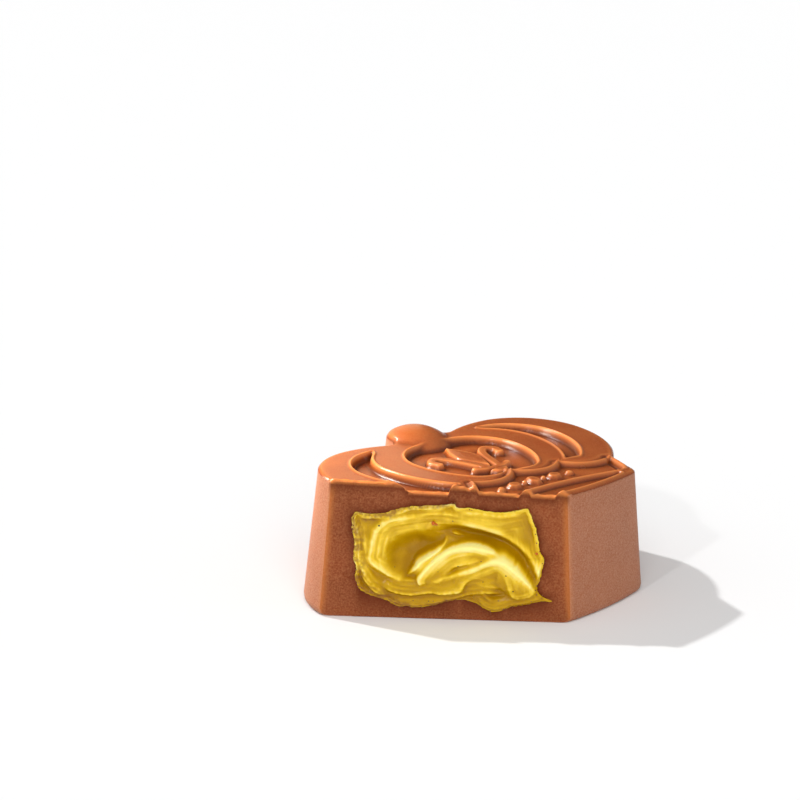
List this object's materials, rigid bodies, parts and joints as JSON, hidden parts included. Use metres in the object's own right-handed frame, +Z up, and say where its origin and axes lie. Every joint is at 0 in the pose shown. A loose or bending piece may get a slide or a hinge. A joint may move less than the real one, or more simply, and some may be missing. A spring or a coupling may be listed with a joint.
{
  "type": "chocolate truffle",
  "caption": "Moulded milk chocolate truffle in the shape of a crown, with raised garlands, jewels and a lily, cut open at one side so that its pale cream filling shows.",
  "frame": {"origin": "middle of the crown's length and width, on the flat base", "axes": "+Z up from the base to the crown's relief; the cut face looks along -Y; the crown's orb points to the upper left seen from above"},
  "size_m": [0.0357, 0.0306, 0.0154],
  "materials": {
    "milk_chocolate": "satin moulded milk chocolate",
    "cream": "soft glossy cream"
  },
  "bodies": {
    "root": {"chocolate_shell": "milk_chocolate", "cream_filling": "cream"}
  },
  "joints": []
}
